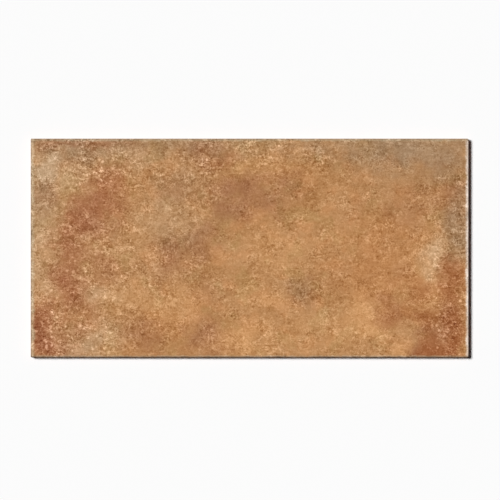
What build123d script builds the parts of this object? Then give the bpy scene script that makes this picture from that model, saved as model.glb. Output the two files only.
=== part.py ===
"""Ceramic floor tile: one dry-pressed and fired slab with a softened arris and a keyed back.

The tile lies on its back with the decorated face up. The origin is at the centre of the back,
on the plane that the tile rests on. +X runs along the length, +Y across the width and +Z up
through the face. All sizes are in millimetres.
"""

from build123d import *

import os

# Slab
LENGTH = 600.0
WIDTH = 300.0
THICKNESS = 9.5
CORNER_RADIUS = 1.5  # plan radius that the die leaves at the four corners

# Arris: the softened edge round the decorated face
ARRIS_WIDTH = 3.5  # inwards from the side
ARRIS_DROP = 1.2  # down from the face
ARRIS_BROW_RADIUS = 8.0  # blends the arris into the face
ARRIS_LIP_RADIUS = 0.8  # blends the arris into the side

# Bevel: the draft below the side, so that the backs of neighbouring tiles stay apart
BEVEL_WIDTH = 1.2  # inwards from the side
BEVEL_HEIGHT = 2.8  # up from the back

# Keyed back: shallow pockets between ribs, which the bedding mortar grips
KEY_COLUMNS = 12
KEY_ROWS = 6
KEY_RIM = 7.0  # flat margin between the bevel and the outermost pockets
KEY_RIB = 4.0  # flat crest between two pockets
KEY_DEPTH = 0.7
KEY_DRAFT = 40.0  # slope of the pocket walls, in degrees from the vertical
KEY_CORNER_RADIUS = 4.0


def pocket_side(span, count):
    """Mouth length of one pocket where this many share a back of this overall span."""
    field = span - 2 * (BEVEL_WIDTH + KEY_RIM)
    return (field - (count - 1) * KEY_RIB) / count


def cross_section(plane, span):
    """The tile cut across: back, bevel, side, arris and face, for this overall span."""
    half = span / 2
    face_half = half - ARRIS_WIDTH
    side_top = THICKNESS - ARRIS_DROP
    with BuildSketch(plane) as section:
        with BuildLine():
            right_side = Polyline(
                (0, 0),
                (half - BEVEL_WIDTH, 0),
                (half, BEVEL_HEIGHT),
                (half, side_top),
                (face_half, THICKNESS),
                (0, THICKNESS),
            )
            mirror(right_side, about=Plane.YZ)
        make_face()
        corners = section.vertices().group_by(Axis.Y)
        brow = corners[-1].filter_by(lambda corner: abs(corner.X) > 0)
        lip = corners[-2]
        fillet(brow, ARRIS_BROW_RADIUS)
        fillet(lip, ARRIS_LIP_RADIUS)
    return section.sketch


pocket_length = pocket_side(LENGTH, KEY_COLUMNS)
pocket_width = pocket_side(WIDTH, KEY_ROWS)

# One pocket, standing on the back's plane and narrowing towards its floor
with BuildPart() as key_pocket:
    with BuildSketch():
        RectangleRounded(pocket_length, pocket_width, KEY_CORNER_RADIUS)
    extrude(amount=KEY_DEPTH, taper=KEY_DRAFT)

with BuildPart() as floor_tile:
    # The section runs along the length and across the width, and the slab is what both share.
    extrude(cross_section(Plane.YZ, WIDTH), amount=LENGTH, both=True)
    extrude(cross_section(Plane.XZ, LENGTH), amount=WIDTH, both=True, mode=Mode.INTERSECT)

    # The die rounds the four corners in plan.
    with BuildSketch():
        RectangleRounded(LENGTH, WIDTH, CORNER_RADIUS)
    extrude(amount=THICKNESS, mode=Mode.INTERSECT)

    # The press keys the back with a waffle of pockets.
    with GridLocations(pocket_length + KEY_RIB, pocket_width + KEY_RIB, KEY_COLUMNS, KEY_ROWS):
        add(key_pocket.part, mode=Mode.SUBTRACT)

floor_tile.part.label = "floor_tile"

os.makedirs("parts", exist_ok=True)
export_step(floor_tile.part, "parts/floor_tile.step")
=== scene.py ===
"""Looks of the ceramic floor tile: a mottled terracotta-look face on a fired clay body.

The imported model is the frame. One closed mesh stands for the tile, with real relief on its face,
the softened arris, the sides and the keyed back. Lengths are in millimetres until a mesh or a
lamp is made, and there they are turned into metres.
"""

import math
from typing import NamedTuple

import bpy
import numpy as np
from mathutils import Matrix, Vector, geometry


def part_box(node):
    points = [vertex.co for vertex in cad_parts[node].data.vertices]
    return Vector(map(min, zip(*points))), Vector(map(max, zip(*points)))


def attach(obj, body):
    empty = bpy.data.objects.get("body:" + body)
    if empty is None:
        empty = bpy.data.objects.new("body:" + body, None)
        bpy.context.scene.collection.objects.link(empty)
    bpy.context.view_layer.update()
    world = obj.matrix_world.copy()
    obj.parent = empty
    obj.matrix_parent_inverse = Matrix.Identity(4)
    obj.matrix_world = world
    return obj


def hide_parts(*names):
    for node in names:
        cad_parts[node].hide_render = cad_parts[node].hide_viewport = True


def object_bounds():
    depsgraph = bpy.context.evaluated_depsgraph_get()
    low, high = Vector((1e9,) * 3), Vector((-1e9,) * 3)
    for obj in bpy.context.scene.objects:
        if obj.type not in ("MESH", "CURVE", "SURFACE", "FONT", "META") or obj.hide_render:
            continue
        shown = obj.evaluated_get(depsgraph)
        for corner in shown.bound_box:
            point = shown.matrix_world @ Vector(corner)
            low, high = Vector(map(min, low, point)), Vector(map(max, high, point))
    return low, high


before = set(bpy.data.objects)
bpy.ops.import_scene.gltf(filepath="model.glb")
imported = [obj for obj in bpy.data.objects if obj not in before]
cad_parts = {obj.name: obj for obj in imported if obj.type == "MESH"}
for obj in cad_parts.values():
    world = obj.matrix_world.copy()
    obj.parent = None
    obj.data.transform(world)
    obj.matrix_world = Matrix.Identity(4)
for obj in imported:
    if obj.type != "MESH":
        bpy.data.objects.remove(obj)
cad_low, cad_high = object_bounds()

MM = 0.001  # metres in a millimetre

# Slab, from the frame
NODE = "floor_tile"
node_low, node_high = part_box(NODE)
LENGTH, WIDTH, THICKNESS = ((high - low) / MM for low, high in zip(node_low, node_high))

# Edges and keyed back, as in the part's source
CORNER_RADIUS = 1.5
ARRIS_WIDTH = 3.5
ARRIS_DROP = 1.2
ARRIS_BROW_RADIUS = 8.0
ARRIS_LIP_RADIUS = 0.8
BEVEL_WIDTH = 1.2
BEVEL_HEIGHT = 2.8
KEY_COLUMNS = 12
KEY_ROWS = 6
KEY_RIM = 7.0
KEY_RIB = 4.0
KEY_DEPTH = 0.7
KEY_DRAFT = math.radians(40)
KEY_CORNER_RADIUS = 4.0

# Mesh density
FACE_STEP = 1.6
LIP_STEPS = 4
ARRIS_STEPS = 3
BROW_STEPS = 4
LAND_STEPS = 3
BEVEL_STEPS = 2
KEY_CORNER_STEPS = 5
FILL_INSIDE = 1  # the fill's mode: triangles within the outermost edges
FILL_REACH = 1e-7  # points nearer than this count as one
NEARLY_ZERO = 1e-9
SHARP_ANGLE = math.radians(32)

# Relief of the face: hollows below a worn plane, from layers of unevenness by size and height
RELIEF_LAYERS = ((85.0, 0.07), (34.0, 0.08), (13.0, 0.07), (6.0, 0.06), (3.4, 0.05))
HOLLOW_LEVEL = 0.02  # how far below the plane the layers' mean lies
HOLLOW_EASE = 0.05  # how softly the hollows round into the plane
PIT_LATTICE = 5.0
PIT_ONSET = 0.62
PIT_DEPTH = 0.5
WEAR_LATTICE = 7.0
WEAR_DEPTH = 0.22
WEAR_REACH = 5.5
RELIEF_FADE = 2.5  # the relief dies out this near the side
RELIEF_SEED = 11  # of the first layer; each next layer has the next seed
PIT_SEED = 31
WEAR_SEED = 41

# Photograph: where the face lies in its square frame
FRAME_PIXELS = 500
FACE_LEFT, FACE_RIGHT = 30.7, 468.5
FACE_TOP, FACE_BOTTOM = 139.0, 357.1

# Camera and light
SENSOR = 36.0
LENS = 300.0
CLIP_END = 100.0  # metres
LIGHT_FALL = (0.66, -0.30, -1.0)  # from the upper left
SUN_ANGLE = math.radians(20)
FILL = 0.02
LIGHT_LEVEL = 1.0
FLOOR_SIZE = 40.0  # metres
FLOOR_COLOUR = (0.97, 0.97, 0.97, 1.0)
FLOOR_BOUNCE = (0.65, 0.65, 0.65, 1.0)  # what the floor throws back at the tile


class Stain(NamedTuple):
    """One blot on the face: its centre, half sizes and turn, and how much it covers."""

    x: float
    y: float
    half_length: float
    half_width: float
    turn: float = 0.0
    cover: float = 1.0


# Where each tone gathers on the face, placed after the photograph
AMBER = (
    Stain(180, 0, 100, 80, 0, 0.7),
    Stain(165, -45, 90, 50, 0, 0.5),
    Stain(30, 112, 90, 40, 0, 0.4),
    Stain(-110, -118, 90, 50, 0, 0.5),
    Stain(-180, -142, 40, 26, 0, 0.4),
    Stain(-180, 84, 40, 40, 0, 0.4),
    Stain(250, -60, 60, 50, 0, 0.4),
)
DEEP = (
    Stain(-24, 76, 52, 36, 0, 0.75),
    Stain(-24, 52, 48, 32, 0, 0.4),
    Stain(36, 86, 66, 36, 0, 0.35),
    Stain(26, 58, 56, 34, 0, 0.3),
    Stain(-64, 130, 44, 36, 0, 0.4),
    Stain(-95, 84, 46, 30, 0, 0.2),
    Stain(-98, -4, 52, 34, 0, 0.55),
    Stain(-57, 12, 44, 40, 0, 0.35),
    Stain(-140, -128, 50, 40, 0, 0.4),
    Stain(-57, -124, 50, 44, 0, 0.65),
    Stain(-172, -104, 46, 34, 0, 0.1),
    Stain(-57, -64, 42, 36, 0, 0.25),
    Stain(-114, -36, 70, 34, 0, 0.2),
    Stain(-250, -128, 50, 44, 0, 0.4),
    Stain(200, 50, 100, 44, 0, 0.15),
    Stain(190, 18, 90, 80, 0, 0.1),
    Stain(244, 80, 44, 36, 0, 0.2),
    Stain(284, 64, 50, 32, 90, 0.55),
    Stain(133, -40, 70, 40, 0, 0.1),
    Stain(-285, 144, 50, 24, 0, 0.4),
    Stain(-228, 142, 60, 26, 0, 0.15),
    Stain(217, 136, 34, 26, 0, 0.5),
    Stain(-288, 70, 44, 34, 0, 0.35),
    Stain(209, -36, 44, 30, 0, 0.1),
    Stain(248, -148, 34, 28, 0, 1.3),
    Stain(186, -82, 32, 30, 0, 0.6),
    Stain(70, -54, 32, 32, 0, 0.35),
    Stain(-284, -118, 40, 24, 90, 0.6),
    Stain(-246, 124, 40, 30, 0, 0.2),
    Stain(262, 122, 34, 30, 0, 0.4),
    Stain(275, -108, 60, 26, 90, 0.7),
    Stain(275, -28, 36, 24, 90, 0.4),
    Stain(-234, 50, 42, 32, 30, 0.3),
    Stain(244, -118, 32, 26, 0, 0.55),
    Stain(230, -150, 30, 28, 0, 0.5),
    Stain(186, 124, 26, 20, 0, 0.3),
    Stain(-196, 98, 30, 24, 0, 0.2),
)
LIGHT = (
    Stain(38, -4, 60, 40, 0, 0.45),
    Stain(-10, -128, 62, 44, 0, 0.9),
    Stain(18, -66, 40, 34, 0, 0.5),
    Stain(110, -116, 90, 44, 0, 0.35),
    Stain(166, -94, 50, 38, 0, 1.25),
    Stain(206, -146, 26, 24, 0, 0.9),
    Stain(-110, -78, 80, 40, 0, 0.4),
    Stain(-184, -64, 48, 32, 0, 0.5),
    Stain(-208, -6, 50, 34, 0, 0.15),
    Stain(248, -16, 60, 38, 90, 0.75),
    Stain(34, 124, 50, 26, 0, 0.4),
)
BUFF = (
    Stain(-278, 107, 34, 32, 0, 2.0),
    Stain(-243, 92, 36, 30, 0, 0.2),
    Stain(-124, 44, 80, 48, 0, 0.2),
    Stain(-292, -10, 110, 40, 90, 0.35),
    Stain(-203, -62, 50, 32, 0, 0.3),
    Stain(-204, -126, 50, 46, 0, 0.4),
    Stain(251, -16, 46, 28, 90, 0.65),
    Stain(246, 142, 48, 28, 0, 0.2),
    Stain(-171, 116, 44, 30, 0, 0.2),
    Stain(-205, 26, 40, 26, 0, 0.25),
    Stain(-240, -140, 40, 24, 0, 0.25),
    Stain(-240, 0, 170, 200, 0, 0.1),
)
ASH = (
    Stain(0, 156, 900, 52, 0, 0.45),
    Stain(-190, 152, 170, 42, 0, 0.7),
    Stain(-246, 128, 46, 40, 0, 0.6),
    Stain(-110, 118, 110, 44, 0, 0.1),
    Stain(200, 150, 130, 44, 0, 0.45),
    Stain(206, 120, 110, 50, 0, 0.5),
    Stain(290, 124, 60, 50, 90, 0.6),
    Stain(292, 28, 76, 44, 90, 0.9),
    Stain(-288, 66, 60, 44, 90, 0.6),
    Stain(-100, 76, 70, 44, 0, 0.25),
    Stain(-96, 20, 60, 40, 0, 0.25),
    Stain(66, -56, 36, 34, 0, 0.25),
    Stain(214, 134, 38, 32, 0, 1.4),
    Stain(262, 122, 36, 32, 0, 0.5),
)
TERRACOTTA = (
    Stain(-200, 92, 44, 32, 30, 0.5),
    Stain(-196, 72, 46, 34, 0, 0.25),
    Stain(-217, 43, 58, 42, 20, 0.65),
    Stain(-248, 9, 44, 38, 70, 0.55),
    Stain(-250, -42, 38, 38, 90, 0.8),
    Stain(-236, -74, 40, 26, 0, 0.3),
    Stain(-246, -92, 60, 46, 0, 0.2),
    Stain(-286, -92, 44, 24, 90, 0.5),
    Stain(-284, -128, 48, 26, 90, 0.85),
    Stain(-28, 119, 34, 20, 10, 0.3),
    Stain(-206, -22, 56, 48, 0, 0.25),
    Stain(-262, -134, 40, 30, 0, 0.2),
    Stain(-62, 138, 34, 16, 0, 0.15),
    Stain(-190, 146, 60, 20, 0, 0.15),
    Stain(-240, 143, 70, 14, 0, 0.3),
    Stain(-198, 38, 46, 34, 0, 0.2),
)
RUST = (
    Stain(198, -78, 46, 36, 0, 0.35),
    Stain(276, -38, 42, 26, 90, 0.75),
    Stain(278, -72, 44, 24, 90, 0.35),
    Stain(244, -94, 32, 28, 0, 0.6),
    Stain(247, -148, 32, 30, 0, 1.0),
    Stain(281, -114, 56, 28, 90, 0.9),
    Stain(276, -144, 38, 28, 90, 0.8),
    Stain(244, -126, 28, 26, 0, 0.4),
    Stain(238, -54, 26, 22, 0, 0.35),
)

# Where the grain is strong, or calm if less than 0, and where pale flecks are strewn
GRAINY = (
    Stain(-250, 116, 170, 90, 0, 0.8),
    Stain(-265, -125, 110, 80, 0, 0.9),
    Stain(-200, 0, 190, 160, 0, 0.5),
    Stain(-70, 124, 150, 70, 0, 0.9),
    Stain(286, 0, 300, 60, 90, 0.5),
    Stain(90, 130, 150, 60, 0, 0.5),
    Stain(275, -110, 50, 70, 0, 0.4),
    Stain(-206, 60, 56, 44, 20, -0.6),
    Stain(-19, 74, 70, 50, 0, -0.3),
    Stain(200, -80, 80, 50, 0, -0.2),
    Stain(238, 124, 70, 40, 0, -0.4),
    Stain(250, -138, 34, 30, 0, -0.5),
)
FLECKED = (
    Stain(-262, -95, 70, 60, 0, 1.0),
    Stain(-225, -126, 80, 44, 0, 1.0),
    Stain(-195, 108, 90, 50, 0, 0.8),
    Stain(-250, 10, 110, 70, 90, 0.6),
    Stain(272, -90, 90, 44, 90, 1.2),
    Stain(286, 80, 60, 30, 90, 0.5),
    Stain(270, -132, 60, 34, 0, 0.5),
)


def display(red, green, blue):
    """A colour as a screen shows it, from 0 to 255, for the nodes that mix in display values."""
    return (red / 255, green / 255, blue / 255, 1.0)


def lattice_noise(x, y, size, seed):
    """Smooth unevenness from -1 to 1: random values on a square lattice, blended between its points."""
    column = (x + LENGTH) / size
    row = (y + LENGTH) / size
    count = int(2 * LENGTH / size) + 2
    values = np.random.default_rng(seed).uniform(-1, 1, (count, count))
    column_cell = np.floor(column).astype(int)
    row_cell = np.floor(row).astype(int)
    across = column - column_cell
    along = row - row_cell
    across = across * across * (3 - 2 * across)
    along = along * along * (3 - 2 * along)
    low = values[row_cell, column_cell] * (1 - across) + values[row_cell, column_cell + 1] * across
    high = values[row_cell + 1, column_cell] * (1 - across) + values[row_cell + 1, column_cell + 1] * across
    return low * (1 - along) + high * along


def arris_profile():
    """The arris from the side up to the face: distances in from the side and heights from the face."""
    slope = math.atan2(ARRIS_DROP, ARRIS_WIDTH)
    lip_turn = math.pi / 2 - slope
    lip_reach = ARRIS_LIP_RADIUS * math.tan(lip_turn / 2)
    brow_reach = ARRIS_BROW_RADIUS * math.tan(slope / 2)
    lip_foot = -ARRIS_DROP - lip_reach
    brow_end = ARRIS_WIDTH + brow_reach
    points = []
    for step in range(LIP_STEPS + 1):
        turned = lip_turn * step / LIP_STEPS
        inwards = ARRIS_LIP_RADIUS * (1 - math.cos(turned))
        points.append((inwards, lip_foot + ARRIS_LIP_RADIUS * math.sin(turned)))
    brow_start = ARRIS_WIDTH - brow_reach * math.cos(slope)
    lip_end, lip_height = points[-1]
    for step in range(1, ARRIS_STEPS):
        inwards = lip_end + (brow_start - lip_end) * step / ARRIS_STEPS
        points.append((inwards, lip_height + (inwards - lip_end) * math.tan(slope)))
    for step in range(BROW_STEPS + 1):
        turned = slope * (1 - step / BROW_STEPS)
        inwards = brow_end - ARRIS_BROW_RADIUS * math.sin(turned)
        points.append((inwards, ARRIS_BROW_RADIUS * (math.cos(turned) - 1)))
    return np.array(points)


def grid_lines(span, profile):
    """Where the face's grid lines cross this span: the arris rows at both ends and even steps between."""
    rows = profile[:, 0]
    steps = round((span - 2 * rows[-1]) / FACE_STEP)
    inner = np.linspace(rows[-1], span - rows[-1], steps + 1)
    return np.concatenate((rows[:-1], inner, span - rows[-2::-1])) - span / 2


def rounded_corners(x, y):
    """The plan position with the four square corners drawn in to the die's corner radius."""
    corner_x = np.maximum(np.abs(x) - (LENGTH / 2 - CORNER_RADIUS), 0)
    corner_y = np.maximum(np.abs(y) - (WIDTH / 2 - CORNER_RADIUS), 0)
    reach = np.hypot(corner_x, corner_y)
    in_corner = (corner_x > 0) & (corner_y > 0)
    share = np.where(in_corner, np.maximum(corner_x, corner_y) / np.maximum(reach, NEARLY_ZERO), 1.0)
    return (
        x - np.sign(x) * corner_x * (1 - share),
        y - np.sign(y) * corner_y * (1 - share),
    )


def face_relief(x, y, edge_distance):
    """Height of the face's relief, never above zero: hollows and pits, and wear along the arris."""
    depth = np.full_like(x, HOLLOW_LEVEL)
    for layer, (size, amplitude) in enumerate(RELIEF_LAYERS):
        depth += amplitude * lattice_noise(x, y, size, RELIEF_SEED + layer)
    depth = (depth + np.hypot(depth, HOLLOW_EASE)) / 2
    pits = lattice_noise(x, y, PIT_LATTICE, PIT_SEED) - PIT_ONSET
    depth += PIT_DEPTH * np.maximum(pits, 0)
    depth *= np.clip(edge_distance / RELIEF_FADE, 0, 1)
    wear = np.maximum(lattice_noise(x, y, WEAR_LATTICE, WEAR_SEED), 0)
    near_edge = np.clip(1 - edge_distance / WEAR_REACH, 0, 1)
    return -depth - WEAR_DEPTH * wear * near_edge


def pocket_outline(centre_x, centre_y, half_x, half_y, radius):
    """Points round one pocket's mouth or floor, with rounded corners, counter-clockwise from above."""
    points = []
    for corner, (sign_x, sign_y) in enumerate(((1, 1), (-1, 1), (-1, -1), (1, -1))):
        for step in range(KEY_CORNER_STEPS + 1):
            angle = math.pi / 2 * (corner + step / KEY_CORNER_STEPS)
            points.append((
                centre_x + sign_x * (half_x - radius) + radius * math.cos(angle),
                centre_y + sign_y * (half_y - radius) + radius * math.sin(angle),
            ))
    return points


def pocket_side(span, count):
    """Mouth length of one pocket where this many share a back of this overall span."""
    return (span - 2 * (BEVEL_WIDTH + KEY_RIM) - (count - 1) * KEY_RIB) / count


def pocket_centres():
    """Centres of the pockets in the back's waffle."""
    pitch_x = pocket_side(LENGTH, KEY_COLUMNS) + KEY_RIB
    pitch_y = pocket_side(WIDTH, KEY_ROWS) + KEY_RIB
    for column in range(KEY_COLUMNS):
        for row in range(KEY_ROWS):
            yield (column - (KEY_COLUMNS - 1) / 2) * pitch_x, (row - (KEY_ROWS - 1) / 2) * pitch_y


class TileMesh:
    """The tile's vertices and faces, gathered zone by zone from the face down to the back."""

    FACE, BODY = 0, 1

    def __init__(self):
        self.points = []
        self.faces = []
        self.zones = []

    def add_points(self, points):
        """Adds points and returns their numbers."""
        first = len(self.points)
        self.points.extend(points)
        return list(range(first, len(self.points)))

    def add_face(self, corners, zone):
        self.faces.append(corners)
        self.zones.append(zone)

    def add_band(self, upper, lower, zone):
        """Quads between two closed rings of as many points, the upper one on top."""
        for here in range(len(upper)):
            after = (here + 1) % len(upper)
            self.add_face((upper[here], lower[here], lower[after], upper[after]), zone)

    def add_top(self):
        """The face and its arris as a grid. Returns its outer ring, counter-clockwise from above."""
        profile = arris_profile()
        lines_x = grid_lines(LENGTH, profile)
        lines_y = grid_lines(WIDTH, profile)
        x, y = (grid.ravel() for grid in np.meshgrid(lines_x, lines_y))
        edge_distance = np.minimum(LENGTH / 2 - np.abs(x), WIDTH / 2 - np.abs(y))
        drop = np.interp(edge_distance, profile[:, 0], profile[:, 1])
        height = THICKNESS + drop + face_relief(x, y, edge_distance)
        x, y = rounded_corners(x, y)
        numbers = np.array(self.add_points(list(zip(x, y, height))))
        numbers = numbers.reshape(len(lines_y), len(lines_x))
        for row in range(len(lines_y) - 1):
            for column in range(len(lines_x) - 1):
                self.add_face((
                    numbers[row, column],
                    numbers[row, column + 1],
                    numbers[row + 1, column + 1],
                    numbers[row + 1, column],
                ), self.FACE)
        return [
            *numbers[0, :-1],
            *numbers[:-1, -1],
            *numbers[-1, :0:-1],
            *numbers[:0:-1, 0],
        ]

    def add_sides(self, ring):
        """The upright land and the bevel below it. Returns the ring on the back's plane."""
        top = [self.points[number] for number in ring]
        land_foot = [(x, y, BEVEL_HEIGHT) for x, y, _ in top]
        bevel_x = 1 - BEVEL_WIDTH / (LENGTH / 2)
        bevel_y = 1 - BEVEL_WIDTH / (WIDTH / 2)
        back_rim = [(x * bevel_x, y * bevel_y, 0.0) for x, y, _ in top]
        for start, end, steps in ((top, land_foot, LAND_STEPS), (land_foot, back_rim, BEVEL_STEPS)):
            for step in range(1, steps + 1):
                blended = np.array(start) + (np.array(end) - np.array(start)) * step / steps
                lower = self.add_points([tuple(point) for point in blended])
                self.add_band(ring, lower, self.BODY)
                ring = lower
        return ring

    def add_back(self, rim):
        """The plane of the ribs, filled round the pocket mouths, and each pocket's walls and floor."""
        half_x = pocket_side(LENGTH, KEY_COLUMNS) / 2
        half_y = pocket_side(WIDTH, KEY_ROWS) / 2
        inset = KEY_DEPTH * math.tan(KEY_DRAFT)
        rings = [rim]
        for centre_x, centre_y in pocket_centres():
            mouth = pocket_outline(centre_x, centre_y, half_x, half_y, KEY_CORNER_RADIUS)
            floor = pocket_outline(
                centre_x, centre_y, half_x - inset, half_y - inset, KEY_CORNER_RADIUS - inset
            )
            mouth_ring = self.add_points([(x, y, 0.0) for x, y in mouth])
            floor_ring = self.add_points([(x, y, KEY_DEPTH) for x, y in floor])
            self.add_band(floor_ring, mouth_ring, self.BODY)
            # The band faces outwards from a solid, and a pocket's walls face in.
            for number in range(len(self.faces) - len(mouth_ring), len(self.faces)):
                self.faces[number] = self.faces[number][::-1]
            self.add_face(tuple(floor_ring[::-1]), self.BODY)
            rings.append(mouth_ring)
        self.fill_ribs(rings)

    def fill_ribs(self, rings):
        """Triangles on the back's plane, inside the first ring and outside the others."""
        numbers = [number for ring in rings for number in ring]
        owners = [owner for owner, ring in enumerate(rings) for _ in ring]
        flat = [Vector(self.points[number][:2]) for number in numbers]
        edges = []
        first = 0
        for ring in rings:
            for here in range(len(ring)):
                edges.append((first + here, first + (here + 1) % len(ring)))
            first += len(ring)
        _, _, triangles, sources, _, _ = geometry.delaunay_2d_cdt(flat, edges, [], FILL_INSIDE, FILL_REACH)
        for triangle in triangles:
            corners = [sources[corner][0] for corner in triangle]
            # A pocket's mouth is convex, so a triangle between points of one mouth lies in it.
            touched = {owners[corner] for corner in corners}
            if len(touched) > 1 or touched == {0}:
                self.add_face(tuple(numbers[corner] for corner in reversed(corners)), self.BODY)

    def finish(self, name):
        """Makes the Blender object, in metres, smooth apart from its sharp edges."""
        mesh = bpy.data.meshes.new(name)
        points = np.array(self.points) * MM
        mesh.from_pydata(points.tolist(), [], [tuple(map(int, face)) for face in self.faces])
        mesh.polygons.foreach_set("material_index", self.zones)
        mesh.shade_smooth()
        mesh.set_sharp_from_angle(angle=SHARP_ANGLE)
        mesh.update()
        piece = bpy.data.objects.new(name, mesh)
        bpy.context.scene.collection.objects.link(piece)
        return piece


def make_tile():
    """The whole tile as one closed mesh."""
    tile = TileMesh()
    outer_ring = tile.add_top()
    back_ring = tile.add_sides(outer_ring)
    tile.add_back(back_ring)
    return tile.finish("tile")


class NoiseKind(NamedTuple):
    """Settings of a noise, and the spread that its values have at those settings."""

    detail: float
    roughness: float
    spread: float


class Noise(NamedTuple):
    """One noise: its kind, the size of its largest marks, its seed, and how drawn out they are along x."""

    kind: NoiseKind
    size: float
    seed: int
    stretch: float = 1.0


class Ramp(NamedTuple):
    """Eases from low to high as a value goes from start to end."""

    start: float
    end: float
    low: float = 0.0
    high: float = 1.0


class Swirl(NamedTuple):
    """A sideways push in the plan, up to about this far, that wanders over this size."""

    size: float
    push: float
    seed: int


class RimBand(NamedTuple):
    """A band along one edge of the face: the axis it lies across, its side, colour, strength and reach."""

    axis: str
    side: int
    colour: tuple
    strength: float
    reach: float


class Finish(NamedTuple):
    """How a surface takes the light: roughness from its lows to its highs, shine, and height of its bumps."""

    low_roughness: float
    high_roughness: float
    specular: float
    bump: float


GRITTY = NoiseKind(4.0, 0.8, 0.059)
SOFT = NoiseKind(2.0, 0.5, 0.082)
SEED_STEP = 131.7  # how far apart two seeds lie in the noise
FULL_SWING = (-2.0, 2.0)  # from the lows of a noise to its highs
SCREEN_GAMMA = 2.2
BUMP_STRENGTH = 0.3


class Shader:
    """One material's nodes. Each call adds nodes and returns the socket that carries the result."""

    def __init__(self, name):
        self.material = bpy.data.materials.new(name)
        self.material.use_nodes = True
        self.tree = self.material.node_tree
        self.surface = self.tree.nodes["Principled BSDF"]
        position = self.node("ShaderNodeTexCoord").outputs["Object"]
        self.place = self.vector("SCALE", position, Scale=1 / MM)
        split = self.node("ShaderNodeSeparateXYZ", Vector=self.place)
        self.x, self.y, self.z = (split.outputs[axis] for axis in "XYZ")
        self.plan = self.node("ShaderNodeCombineXYZ", X=self.x, Y=self.y).outputs["Vector"]

    def feed(self, socket, value):
        if isinstance(value, bpy.types.NodeSocket):
            self.tree.links.new(value, socket)
        else:
            socket.default_value = value

    def node(self, kind, settings=None, **inputs):
        made = self.tree.nodes.new(kind)
        for name, value in (settings or {}).items():
            setattr(made, name, value)
        for name, value in inputs.items():
            self.feed(made.inputs[name.replace("_", " ")], value)
        return made

    def math(self, operation, *values):
        made = self.node("ShaderNodeMath", {"operation": operation})
        for socket, value in zip(made.inputs, values):
            self.feed(socket, value)
        return made.outputs["Value"]

    def vector(self, operation, first, second=None, **inputs):
        made = self.node("ShaderNodeVectorMath", {"operation": operation}, **inputs)
        self.feed(made.inputs[0], first)
        if second is not None:
            self.feed(made.inputs[1], second)
        return made.outputs["Vector"]

    def mix(self, share, first, second):
        made = self.node("ShaderNodeMix", {"data_type": "RGBA"})
        for index, value in ((0, share), (6, first), (7, second)):
            self.feed(made.inputs[index], value)
        return made.outputs[2]

    def smooth(self, value, start, end, low=0.0, high=1.0):
        """Eases from low to high as the value goes from start to end."""
        made = self.node(
            "ShaderNodeMapRange",
            {"interpolation_type": "SMOOTHSTEP"},
            Value=value, From_Min=start, From_Max=end, To_Min=low, To_Max=high,
        )
        return made.outputs["Result"]

    def noise(self, noise):
        """Noise about 0 with a spread of 1."""
        shifted = self.vector("ADD", self.place, (0, 0, SEED_STEP * noise.seed))
        narrowed = self.vector("DIVIDE", shifted, (noise.stretch, 1, 1))
        kind = noise.kind
        made = self.node(
            "ShaderNodeTexNoise",
            Vector=narrowed, Scale=1 / noise.size, Detail=kind.detail, Roughness=kind.roughness,
        )
        return self.math("MULTIPLY_ADD", made.outputs["Fac"], 1 / kind.spread, -0.5 / kind.spread)

    def marks(self, noise, ramp):
        """Marks where the noise is high."""
        return self.smooth(self.noise(noise), *ramp)

    def lines(self, noise, ramp):
        """Lines where the noise crosses 0."""
        return self.smooth(self.math("ABSOLUTE", self.noise(noise)), *ramp)

    def swirl(self, swirl):
        shifted = self.vector("ADD", self.plan, (0, 0, SEED_STEP * swirl.seed))
        made = self.node("ShaderNodeTexNoise", Vector=shifted, Scale=1 / swirl.size)
        centred = self.vector("SUBTRACT", made.outputs["Color"], (0.5, 0.5, 0.5))
        return self.vector("MULTIPLY", centred, (2 * swirl.push, 2 * swirl.push, 0))

    def chips(self):
        """Small uneven spots of pale slip, where only some of them show."""
        torn = self.vector("ADD", self.plan, self.swirl(CHIP_TEAR))
        cells = self.node("ShaderNodeTexVoronoi", Vector=torn, Scale=1 / CHIP_SPACING)
        reach = CHIP_REACH / CHIP_SPACING
        spot = self.smooth(cells.outputs["Distance"], reach, CHIP_CORE * reach)
        chosen = self.node("ShaderNodeSeparateColor", Color=cells.outputs["Color"]).outputs["Red"]
        return self.math("MULTIPLY", spot, self.smooth(chosen, *CHIP_CHOICE))

    def cover(self, stains, place):
        """How much these stains cover each point, added up."""
        total = 0.0
        for stain in stains:
            within = self.node(
                "ShaderNodeMapping",
                {"vector_type": "TEXTURE"},
                Vector=place,
                Location=(stain.x, stain.y, 0),
                Rotation=(0, 0, math.radians(stain.turn)),
                Scale=(stain.half_length, stain.half_width, 1),
            )
            falloff = self.node(
                "ShaderNodeTexGradient",
                {"gradient_type": "SPHERICAL"},
                Vector=within.outputs["Vector"],
            )
            bump = self.smooth(falloff.outputs["Fac"], 0.0, 1.0, 0.0, stain.cover)
            total = self.math("ADD", bump, total)
        return total

    def finish(self, colour, height, finish):
        """Sets the surface, with a colour in display values. Returns the material."""
        linear = self.node("ShaderNodeGamma", Color=colour, Gamma=SCREEN_GAMMA).outputs["Color"]
        roughness = self.smooth(height, *FULL_SWING, finish.low_roughness, finish.high_roughness)
        self.feed(self.surface.inputs["Base Color"], linear)
        self.feed(self.surface.inputs["Roughness"], roughness)
        self.surface.inputs["Specular IOR Level"].default_value = finish.specular
        bump = self.node("ShaderNodeBump", Strength=BUMP_STRENGTH, Distance=finish.bump * MM, Height=height)
        self.feed(self.surface.inputs["Normal"], bump.outputs["Normal"])
        return self.material


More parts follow.
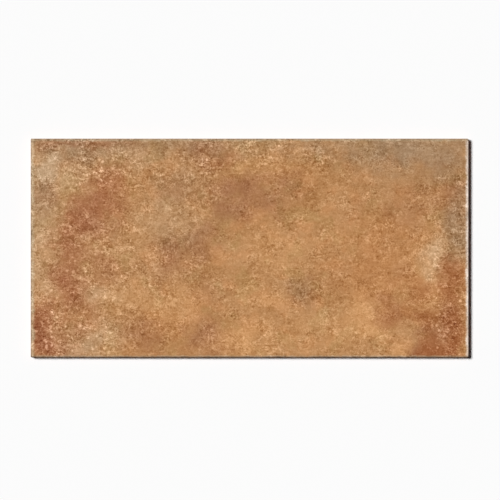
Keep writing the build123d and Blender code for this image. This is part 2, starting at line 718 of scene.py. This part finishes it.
# Tones of the face, as a screen shows them
OCHRE_DARK = display(177, 127, 80)
OCHRE_PALE = display(185, 136, 90)
OCHRE_DRIFT = Noise(SOFT, 60.0, 1)
HUES = (display(197, 140, 91), display(176, 135, 85))  # the ochre drifts towards peach and gold
HUE_SIZE = 30.0
HUE_SEED = 10  # of the first hue; the next hue has the next seed
HUE_RAMP = Ramp(0.0, 2.0, 0.0, 0.6)
TONES = (
    (AMBER, display(189, 131, 80)),
    (DEEP, display(150, 99, 67)),
    (LIGHT, display(206, 151, 99)),
    (ASH, display(157, 125, 93)),
    (BUFF, display(200, 167, 132)),
    (TERRACOTTA, display(147, 87, 55)),
    (RUST, display(150, 89, 49)),
)
STAIN_SIZE = 26.0  # of the unevenness within a tone's stains
STAIN_SEED = 20  # of the first tone; each next tone has the next seed
STAIN_UNEVEN = 0.22
BARE_SHARE = 0.25  # what a stain with a cover of 1 lets through at its centre
STAIN_SWIRLS = (Swirl(46.0, 22.0, 8), Swirl(14.0, 7.0, 9))  # they pull the stains out of their round shapes

# Pale rim where the glaze runs thin over the arris, and painted shade on the lip below it
LIP_PAINTED_SHADE = display(112, 92, 74)
RIM_BANDS = (
    RimBand("x", 1, display(255, 234, 218), 1.0, 5.2),
    RimBand("x", -1, display(182, 159, 128), 0.8, 7.0),
    RimBand("y", 1, display(172, 151, 122), 0.7, 5.0),
    RimBand("y", -1, display(204, 178, 150), 0.7, 4.0),
    # The lip below the pale band, with its shade painted into the colour
    RimBand("x", -1, LIP_PAINTED_SHADE, 0.7, 1.6),
    RimBand("y", 1, LIP_PAINTED_SHADE, 0.4, 1.4),
    RimBand("y", -1, LIP_PAINTED_SHADE, 0.9, 2.2),
)
RIM_CORE = 0.25  # the share of its reach in which a band has its full strength
RIM_RAGGED = 0.08  # how far the rim's edge wanders, as a share of its reach
RIM_EDGE = Noise(GRITTY, 9.0, 5)
RIM_WEAR = Noise(SOFT, 30.0, 12)
RIM_WEAR_RAMP = Ramp(-1.5, 1.5, 0.8, 1.12)

# Texture of the face: how much lighter or darker, from 0 to 1, each kind of mark makes it
STRETCH = 1.05  # how much longer than wide the marks are, along the tile
DAB_RAMP = Ramp(0.5, 2.0, 0.0, 0.056)
LIGHT_DAB = Noise(GRITTY, 7.0, 30, STRETCH)
DARK_DAB = Noise(GRITTY, 6.0, 31, STRETCH)
LACE = Noise(SOFT, 8.0, 33, STRETCH)
LACE_RAMP = Ramp(0.6, 0.0, -0.0135, 0.045)
CRACK = Noise(SOFT, 9.0, 34, STRETCH)
CRACK_RAMP = Ramp(0.5, 0.0, -0.007, 0.035)
SPECK = Noise(GRITTY, 3.2, 42, STRETCH)
SPECK_RAMP = Ramp(1.3, 2.6, 0.0, 0.11)
GRAIN = Noise(GRITTY, 2.6, 40)
CLUMP = Noise(SOFT, 6.0, 41)
CLUMP_RAMP = Ramp(-1.5, 1.5, 0.006, 0.024)  # how strong the grain is
BLOT = Noise(SOFT, 15.0, 32, STRETCH)
BLOT_LEVEL = 0.010
THREAD = Noise(SOFT, 3.0, 43, 5.0)
THREAD_LEVEL = 0.007
PATCH = Noise(SOFT, 22.0, 2)
PATCH_RAMP = Ramp(*FULL_SWING, 0.6, 1.6)  # how strong all these marks are
DARK_LIMIT = 1.3  # the strongest that the dark marks become

# Flecks and chips of pale slip
FLECK = Noise(GRITTY, 7.0, 50)
FLECK_RAMP = Ramp(1.3, 1.9, 0.0, 0.16)
FLECKED_RAMP = Ramp(0.0, 0.8)
CHIP_SPACING = 10.0
CHIP_REACH = 2.9
CHIP_CORE = 0.5  # the share of its reach in which a chip has its full strength
CHIP_TEAR = Swirl(3.0, 0.8, 15)
CHIP_CHOICE = Ramp(0.35, 0.9, 0.0, 0.27)

GLAZE_FINISH = Finish(0.85, 0.7, 0.3, 0.1)


def add_rim(shader, colour):
    """The pale band where the glaze runs thin over the arris, and painted shade on the lip below it."""
    ragged = shader.noise(RIM_EDGE)
    # The same unevenness thins the pale rim and the painted shade of the lip.
    worn = shader.marks(RIM_WEAR, RIM_WEAR_RAMP)
    axes = {"x": (shader.x, LENGTH / 2), "y": (shader.y, WIDTH / 2)}
    for band in RIM_BANDS:
        position, half = axes[band.axis]
        distance = shader.math("MULTIPLY_ADD", position, -band.side, half)
        distance = shader.math("MULTIPLY_ADD", ragged, RIM_RAGGED * band.reach, distance)
        share = shader.smooth(distance, band.reach, RIM_CORE * band.reach, 0.0, band.strength)
        colour = shader.mix(shader.math("MULTIPLY", share, worn), colour, band.colour)
    return colour


def mottle(shader, place):
    """The glaze's colour: ochre that drifts in hue, under soft stains of the other tones."""
    pale = shader.smooth(shader.noise(OCHRE_DRIFT), *FULL_SWING)
    colour = shader.mix(pale, OCHRE_DARK, OCHRE_PALE)
    for number, hue in enumerate(HUES):
        drift = shader.marks(Noise(SOFT, HUE_SIZE, HUE_SEED + number), HUE_RAMP)
        colour = shader.mix(drift, colour, hue)
    for number, (stains, tone) in enumerate(TONES):
        uneven = shader.noise(Noise(SOFT, STAIN_SIZE, STAIN_SEED + number))
        uneven = shader.math("MULTIPLY_ADD", uneven, STAIN_UNEVEN, 1.0)
        cover = shader.math("MULTIPLY", shader.cover(stains, place), uneven)
        bare = shader.math("POWER", BARE_SHARE, cover)
        colour = shader.mix(bare, tone, colour)
    return colour


def add_marks(shader, place, grain):
    """How much lighter or darker the texture makes the face."""
    strength = shader.math("ADD", shader.cover(GRAINY, place), 1.0)
    strength = shader.math("MULTIPLY", strength, shader.marks(PATCH, PATCH_RAMP))
    light = shader.math("ADD", shader.marks(LIGHT_DAB, DAB_RAMP), shader.lines(LACE, LACE_RAMP))
    light = shader.math("MULTIPLY_ADD", grain, shader.marks(CLUMP, CLUMP_RAMP), light)
    light = shader.math("MULTIPLY_ADD", shader.noise(BLOT), BLOT_LEVEL, light)
    light = shader.math("MULTIPLY_ADD", shader.noise(THREAD), THREAD_LEVEL, light)
    light = shader.math("MULTIPLY", light, strength)
    dark = shader.math("ADD", shader.marks(DARK_DAB, DAB_RAMP), shader.lines(CRACK, CRACK_RAMP))
    dark = shader.math("ADD", dark, shader.marks(SPECK, SPECK_RAMP))
    dark = shader.math("MULTIPLY", dark, shader.math("MINIMUM", strength, DARK_LIMIT))
    texture = shader.math("SUBTRACT", light, dark)
    fleck = shader.math("MAXIMUM", shader.marks(FLECK, FLECK_RAMP), shader.chips())
    flecked = shader.smooth(shader.cover(FLECKED, place), *FLECKED_RAMP)
    return shader.math("MULTIPLY_ADD", fleck, flecked, texture)


def make_glaze():
    """The matt face: mottled, sponged, grained, flecked, worn pale at the rim, with painted shade on its lip.
    """
    shader = Shader("matt_terracotta_glaze")
    place = shader.plan
    for swirl in STAIN_SWIRLS:
        place = shader.vector("ADD", place, shader.swirl(swirl))
    grain = shader.noise(GRAIN)
    colour = add_rim(shader, mottle(shader, place))
    colour = shader.vector("ADD", colour, add_marks(shader, place, grain))
    return shader.finish(colour, grain, GLAZE_FINISH)


# Bare clay of the sides and the back
BODY_DEEP = display(158, 96, 68)
BODY_LIGHT = display(194, 130, 94)
BODY_DRIFT = Noise(GRITTY, 24.0, 3)
GRIT_COLOUR = display(112, 66, 48)
GRIT = Noise(GRITTY, 1.5, 4)
GRIT_RAMP = Ramp(1.3, 2.4, 0.0, 0.6)
WASH_COLOUR = display(222, 200, 180)
WASH_PATCHES = Noise(GRITTY, 11.0, 6)
WASH_PATCHES_RAMP = Ramp(-1.5, 0.8)
WASH_RAMP = Ramp(0.5, 0.1, 0.0, 0.75)  # by the height above the ribs' crests
GLAZE_EDGE_COLOUR = display(190, 146, 104)
GLAZE_RUN = Noise(GRITTY, 5.0, 7)
GLAZE_RUN_WANDER = 0.35
GLAZE_RUN_LOW, GLAZE_RUN_HIGH = 1.2, 0.4  # how far below the arris the run starts to fade in, and is full
BODY_FINISH = Finish(0.95, 0.85, 0.25, 0.05)


def make_body():
    """The bare fired clay of the sides and the back, with kiln wash on the ribs."""
    shader = Shader("fired_clay_body")
    drift = shader.smooth(shader.noise(BODY_DRIFT), *FULL_SWING)
    colour = shader.mix(drift, BODY_DEEP, BODY_LIGHT)
    grit = shader.noise(GRIT)
    colour = shader.mix(shader.smooth(grit, *GRIT_RAMP), colour, GRIT_COLOUR)

    # Kiln wash stays on the ribs' crests, which are the lowest part of the back.
    patchy = shader.marks(WASH_PATCHES, WASH_PATCHES_RAMP)
    wash = shader.math("MULTIPLY", shader.smooth(shader.z, *WASH_RAMP), patchy)
    colour = shader.mix(wash, colour, WASH_COLOUR)

    # The glaze runs a little way over the lip.
    height = shader.math("MULTIPLY_ADD", shader.noise(GLAZE_RUN), GLAZE_RUN_WANDER, shader.z)
    arris_foot = THICKNESS - ARRIS_DROP
    run = shader.smooth(height, arris_foot - GLAZE_RUN_LOW, arris_foot - GLAZE_RUN_HIGH)
    colour = shader.mix(run, colour, GLAZE_EDGE_COLOUR)
    return shader.finish(colour, grit, BODY_FINISH)


def rays_that_show(tree):
    """1 for the rays that show a surface to the camera, also by reflection or through glass, or else 0."""
    rays = tree.nodes.new("ShaderNodeLightPath")
    seen = rays.outputs["Is Camera Ray"]
    for name in ("Is Glossy Ray", "Is Transmission Ray"):
        either = tree.nodes.new("ShaderNodeMath")
        either.operation = "MAXIMUM"
        tree.links.new(seen, either.inputs[0])
        tree.links.new(rays.outputs[name], either.inputs[1])
        seen = either.outputs["Value"]
    return seen


def make_floor():
    """A plain pale floor at the height of the tile's back, which throws little light at the tile."""
    half = FLOOR_SIZE / 2
    mesh = bpy.data.meshes.new("floor")
    corners = [(-half, -half, 0), (half, -half, 0), (half, half, 0), (-half, half, 0)]
    mesh.from_pydata(corners, [], [(0, 1, 2, 3)])
    floor = bpy.data.objects.new("floor", mesh)
    floor.location.z = cad_low.z
    bpy.context.scene.collection.objects.link(floor)
    paint = Shader("floor_paint")
    colour = paint.mix(rays_that_show(paint.tree), FLOOR_BOUNCE, FLOOR_COLOUR)
    paint.feed(paint.surface.inputs["Base Color"], colour)
    paint.surface.inputs["Roughness"].default_value = 1.0
    paint.surface.inputs["Specular IOR Level"].default_value = 0.0
    mesh.materials.append(paint.material)


def make_light():
    """One broad key from the upper left and an even fill, together at a plain level."""
    falling = Vector(LIGHT_FALL).normalized()
    key = bpy.data.lights.new("key", "SUN")
    key.angle = SUN_ANGLE
    key.energy = (LIGHT_LEVEL - FILL) * math.pi / -falling.z
    lamp = bpy.data.objects.new("key", key)
    lamp.rotation_mode = "QUATERNION"
    lamp.rotation_quaternion = falling.to_track_quat("-Z", "Y")
    bpy.context.scene.collection.objects.link(lamp)

    world = bpy.data.worlds.new("studio")
    bpy.context.scene.world = world
    world.use_nodes = True
    tree = world.node_tree
    background = tree.nodes["Background"]
    background.inputs["Color"].default_value = (1, 1, 1, 1)
    level = tree.nodes.new("ShaderNodeMapRange")
    level.inputs["To Min"].default_value = FILL
    tree.links.new(rays_that_show(tree), level.inputs["Value"])
    tree.links.new(level.outputs["Result"], background.inputs["Strength"])


def make_camera():
    """Straight down on the face, framed as in the photograph."""
    pixel = LENGTH / (FACE_RIGHT - FACE_LEFT)
    frame_width = FRAME_PIXELS * pixel
    right = (FRAME_PIXELS - FACE_LEFT - FACE_RIGHT) / 2 * pixel
    up = (FACE_TOP + FACE_BOTTOM - FRAME_PIXELS) / 2 * pixel
    distance = frame_width * LENS / SENSOR
    view = bpy.data.cameras.new("camera")
    view.sensor_width = SENSOR
    view.lens = LENS
    view.clip_end = CLIP_END
    camera = bpy.data.objects.new("camera", view)
    camera.location = Vector((right, up, THICKNESS + distance)) * MM
    bpy.context.scene.collection.objects.link(camera)
    bpy.context.scene.camera = camera


tile = make_tile()
tile.data.materials.append(make_glaze())
tile.data.materials.append(make_body())
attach(tile, "root")
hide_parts(NODE)

make_floor()
make_light()
make_camera()
bpy.context.scene.view_settings.view_transform = "Standard"
